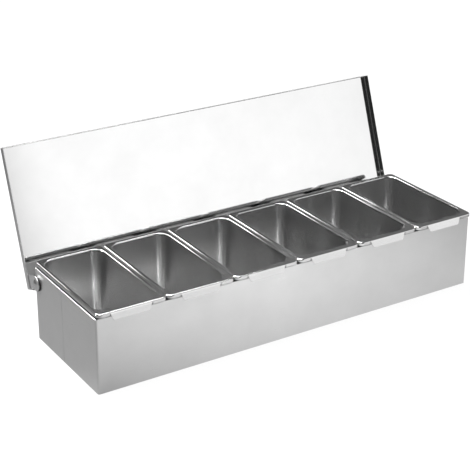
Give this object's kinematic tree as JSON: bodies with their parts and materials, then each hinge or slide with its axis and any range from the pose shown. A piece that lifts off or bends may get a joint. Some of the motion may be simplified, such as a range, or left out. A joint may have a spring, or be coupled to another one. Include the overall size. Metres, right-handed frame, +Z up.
{
  "type": "condiment caddy",
  "caption": "Long open-topped steel box with a row of lift-out pans and one shallow hinged lid that leans back on the rear wall.",
  "frame": {"origin": "centre of the underside of the base, where the box stands", "axes": "+X along the row of pans, +Y from the front with the tabs towards the hinge side, +Z up"},
  "size_m": [0.5016, 0.2241, 0.2067],
  "materials": {
    "satin_steel": "fine satin sheet, grain along the long way of each wall",
    "pan_steel": "soft polished drawn sheet with a brighter rim",
    "polished_steel": "mirror polished sheet",
    "rivet_steel": "smooth domed heads",
    "black_rubber": "matt black"
  },
  "bodies": {
    "box": {"front_wrap": "satin_steel", "rear_wrap": "satin_steel", "base_panel": "satin_steel", "seam_strap_left": "satin_steel", "seam_strap_right": "satin_steel", "hinge_rivet_left": "rivet_steel", "hinge_rivet_right": "rivet_steel", "spacer_washer_left": "black_rubber", "spacer_washer_right": "black_rubber"},
    "lid": {"lid_tray": "polished_steel", "hinge_ear_left": "satin_steel", "hinge_ear_right": "satin_steel"},
    "pan_1": {"pan_1": "pan_steel"},
    "pan_2": {"pan_2": "pan_steel"},
    "pan_3": {"pan_3": "pan_steel"},
    "pan_4": {"pan_4": "pan_steel"},
    "pan_5": {"pan_5": "pan_steel"},
    "pan_6": {"pan_6": "pan_steel"}
  },
  "joints": [
    {"name": "lid_hinge", "type": "hinge", "parent": "box", "child": "lid", "pos_m": [0, 0.0681, 0.069], "axis": [-1, 0, 0], "range_deg": [-109.3, 0]},
    {"name": "pan_1_lift", "type": "slide", "parent": "box", "child": "pan_1", "axis": [0, 0, 1], "range_m": [0, 0.1]},
    {"name": "pan_2_lift", "type": "slide", "parent": "box", "child": "pan_2", "axis": [0, 0, 1], "range_m": [0, 0.1]},
    {"name": "pan_3_lift", "type": "slide", "parent": "box", "child": "pan_3", "axis": [0, 0, 1], "range_m": [0, 0.1]},
    {"name": "pan_4_lift", "type": "slide", "parent": "box", "child": "pan_4", "axis": [0, 0, 1], "range_m": [0, 0.1]},
    {"name": "pan_5_lift", "type": "slide", "parent": "box", "child": "pan_5", "axis": [0, 0, 1], "range_m": [0, 0.1]},
    {"name": "pan_6_lift", "type": "slide", "parent": "box", "child": "pan_6", "axis": [0, 0, 1], "range_m": [0, 0.1]}
  ]
}
